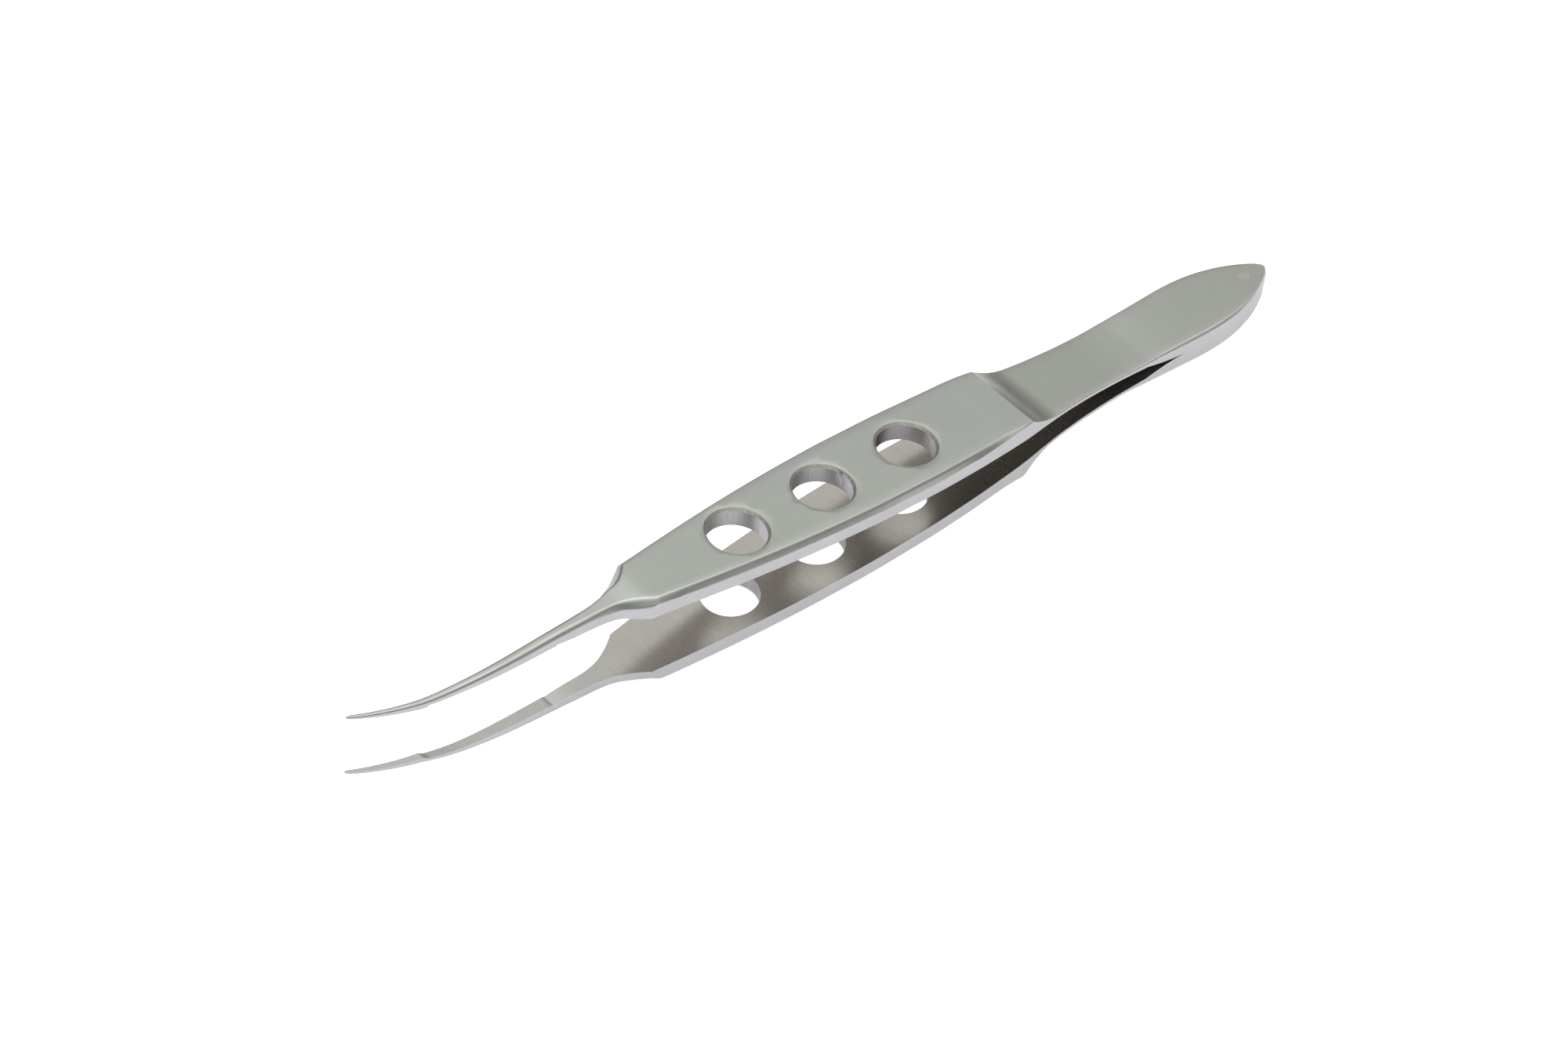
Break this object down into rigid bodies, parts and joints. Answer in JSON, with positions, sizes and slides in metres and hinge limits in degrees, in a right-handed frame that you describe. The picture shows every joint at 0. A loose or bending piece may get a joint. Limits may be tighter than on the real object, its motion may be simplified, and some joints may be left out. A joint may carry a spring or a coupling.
{
  "type": "tying forceps",
  "caption": "Curved suture tying forceps: sprung arms joined at a leaf-shaped tail, perforated finger plates, smooth tying platforms at the fine tips.",
  "frame": {"origin": "centre of the box around the forceps at rest; z = 0 is the plane in which the tips meet", "axes": "+X towards the tips, +Z the way the upper arm springs open, tips curve towards -Y"},
  "size_m": [0.1058, 0.01, 0.0108],
  "materials": {
    "satin_steel": "satin ground stainless steel",
    "joint_steel": "joint metal ground flush",
    "pin_steel": "pin end ground flush"
  },
  "bodies": {
    "tail": {"upper_tail_pad": "satin_steel", "lower_tail_pad": "satin_steel", "tail_joint_bead": "joint_steel", "tail_pin": "pin_steel", "upper_leaf_spring": "satin_steel", "lower_leaf_spring": "satin_steel"},
    "upper_arm": {"upper_arm": "satin_steel"},
    "lower_arm": {"lower_arm": "satin_steel"}
  },
  "joints": [
    {"name": "upper_arm_squeeze", "type": "hinge", "parent": "tail", "child": "upper_arm", "pos_m": [-0.0279, 0, 0.0012], "axis": [0, 1, 0], "range_deg": [0, 2.32], "stiffness_Nm_per_rad": 0.64, "deforming": ["upper_leaf_spring"]},
    {"name": "lower_arm_squeeze", "type": "hinge", "parent": "tail", "child": "lower_arm", "pos_m": [-0.0279, 0, -0.0012], "axis": [0, -1, 0], "range_deg": [0, 2.32], "stiffness_Nm_per_rad": 0.64, "deforming": ["lower_leaf_spring"]}
  ]
}
